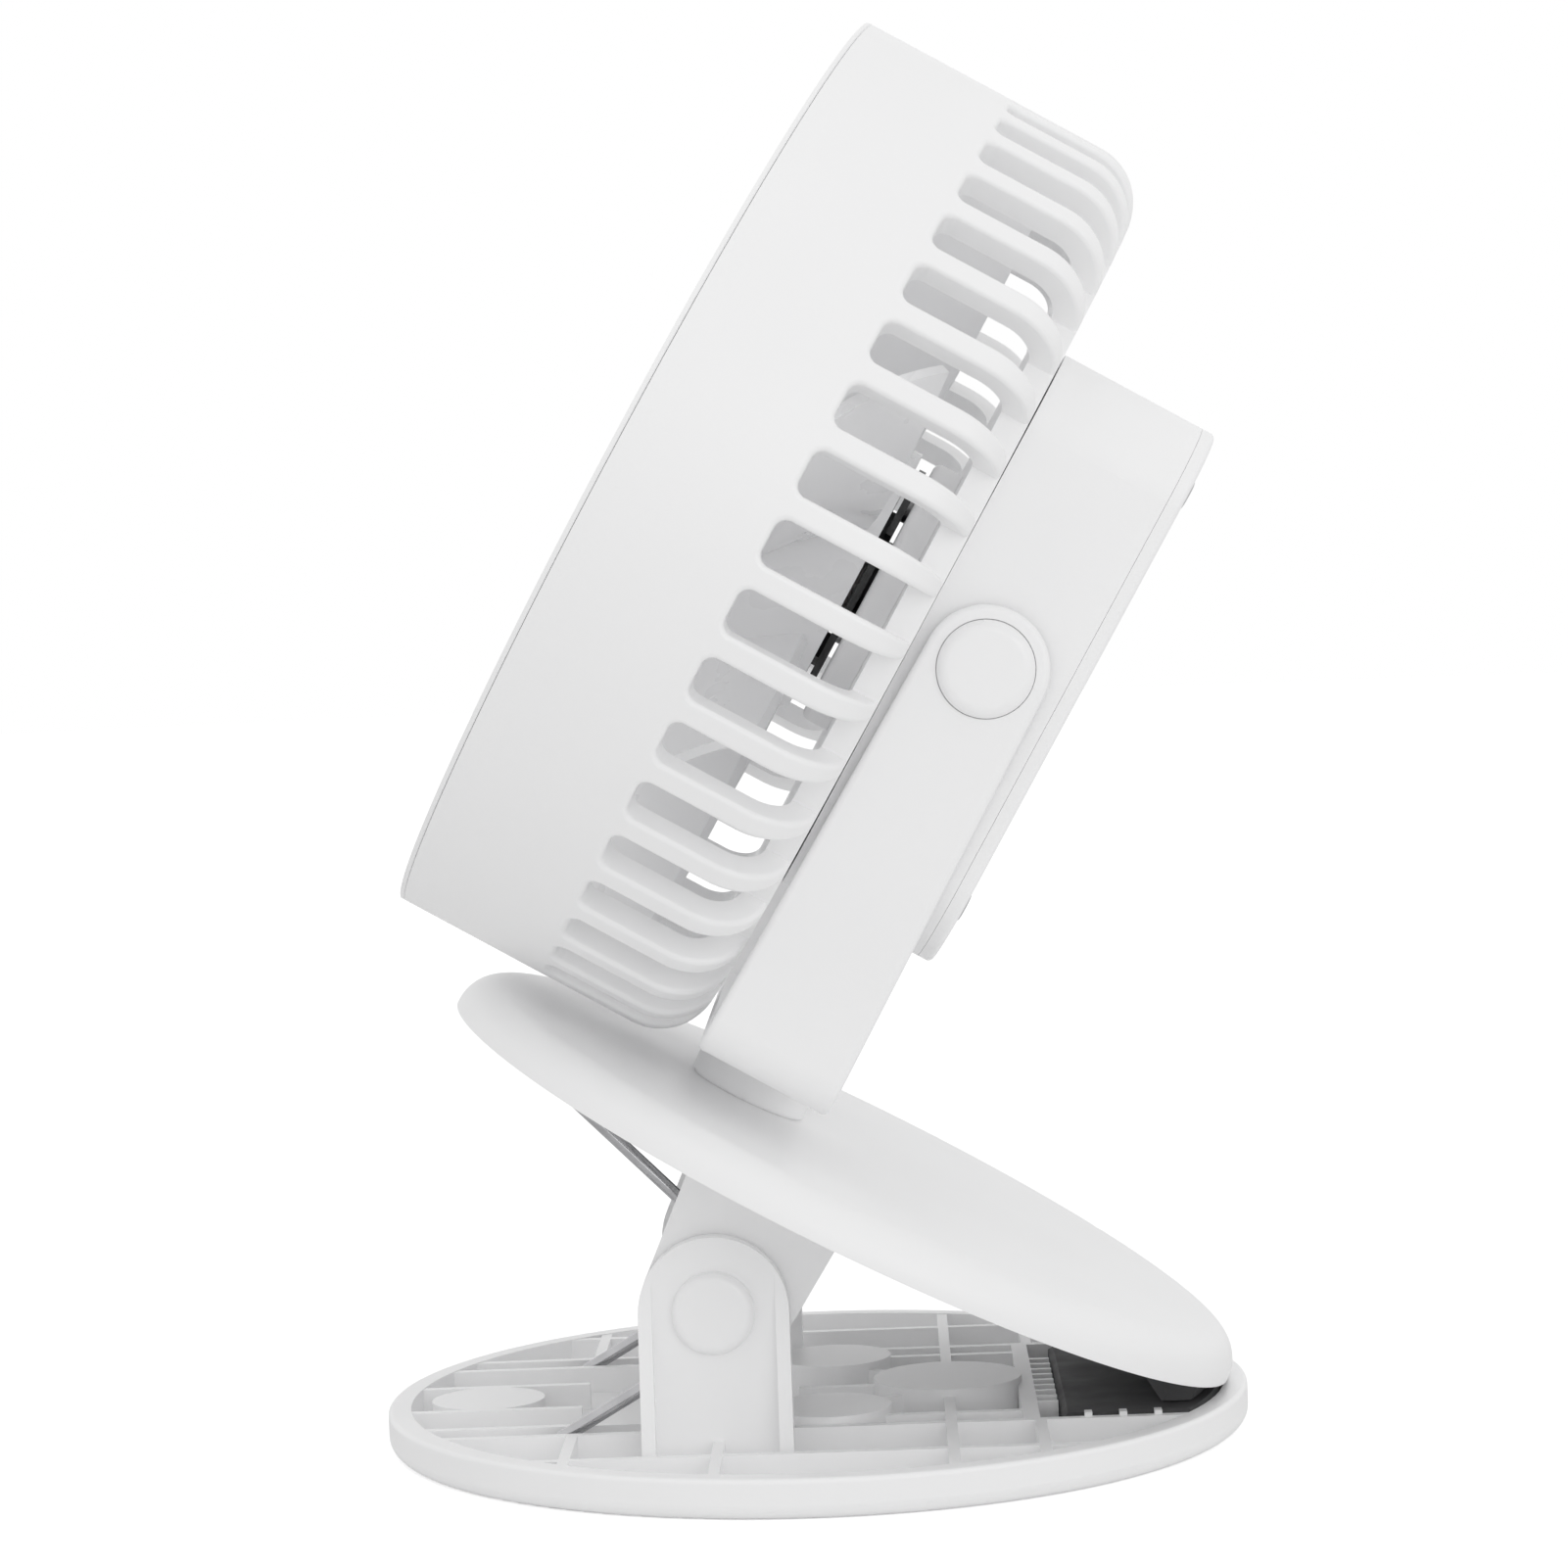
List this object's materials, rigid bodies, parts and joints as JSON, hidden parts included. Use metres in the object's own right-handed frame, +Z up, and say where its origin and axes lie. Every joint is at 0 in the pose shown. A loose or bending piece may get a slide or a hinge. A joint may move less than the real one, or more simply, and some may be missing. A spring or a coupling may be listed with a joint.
{
  "type": "clip fan",
  "caption": "Clip-on desk fan: a round head with a finned drum tilts in a yoke that swivels on a sprung clip with ribbed round jaws.",
  "frame": {"origin": "middle of the base's underside, on the table", "axes": "+Z up; the jaw tips point to +Y, the fan blows to -Y and upwards; X runs along the clip's hinge and the head's tilt axis"},
  "size_m": [0.164, 0.144, 0.233],
  "materials": {
    "white_plastic": "satin moulded ABS",
    "dark_rubber": "matt moulded rubber",
    "steel": "plain steel",
    "spring_steel": "bright drawn spring wire",
    "dark_plastic": "matt self-lubricating plastic",
    "magnet": "matt ferrite",
    "bronze": "sintered bronze",
    "copper_winding": "lacquered copper wire on a laminated core",
    "circuit_board": "black lacquered board",
    "frosted_window": "frosted",
    "plated_metal": "plated shell",
    "cell_wrap": "satin film over a metal can"
  },
  "bodies": {
    "base": {"base_plate": "white_plastic", "base_grip_ring": "dark_rubber", "lower_jaw_pad": "dark_rubber", "hinge_axle": "steel", "hinge_caps": "white_plastic", "clip_spring": "spring_steel"},
    "upper_jaw": {"top_plate": "white_plastic", "clip_bracket": "white_plastic", "bracket_screws": "steel", "upper_jaw_pad": "dark_rubber"},
    "yoke": {"yoke": "white_plastic", "knob_caps": "white_plastic", "swivel_washer": "dark_plastic", "swivel_screw": "steel", "tilt_washers": "dark_plastic"},
    "head": {"fan_housing": "white_plastic", "front_grille": "white_plastic", "battery_box": "white_plastic", "rear_cover": "white_plastic", "lamp_window": "frosted_window", "control_board": "circuit_board", "usb_socket": "plated_metal", "battery_cells": "cell_wrap", "cover_screws": "steel", "housing_screws": "steel", "motor_cup": "white_plastic", "motor_bearings": "bronze", "motor_stator": "copper_winding", "motor_board": "circuit_board", "motor_screws": "steel", "tilt_screws": "steel"},
    "rotor": {"impeller": "white_plastic", "rotor_bell": "steel", "magnet_ring": "magnet", "motor_shaft": "steel"},
    "button": {"power_button": "white_plastic"}
  },
  "joints": [
    {"name": "clip_hinge", "type": "hinge", "parent": "base", "child": "upper_jaw", "pos_m": [0, -0.0151, 0.0269], "axis": [1, 0, 0], "range_deg": [0, 30], "stiffness_Nm_per_rad": 0.35, "springref_deg": -68.75, "deforming": ["clip_spring"]},
    {"name": "head_swivel", "type": "hinge", "parent": "upper_jaw", "child": "yoke", "pos_m": [0, -0.00987, 0.05633], "axis": [0, 0.4695, 0.8829], "continuous": true},
    {"name": "head_tilt", "type": "hinge", "parent": "yoke", "child": "head", "pos_m": [0, 0.03151, 0.12729], "axis": [-1, 0, 0], "range_deg": [0, 150]},
    {"name": "fan_spin", "type": "hinge", "parent": "head", "child": "rotor", "pos_m": [0, -0.02399, 0.16231], "axis": [0, -0.8616, 0.5076], "continuous": true},
    {"name": "button_press", "type": "slide", "parent": "head", "child": "button", "axis": [0, -0.8616, 0.5076], "range_m": [0, 0.001], "stiffness_N_per_m": 600, "springref_m": -0.0005}
  ]
}
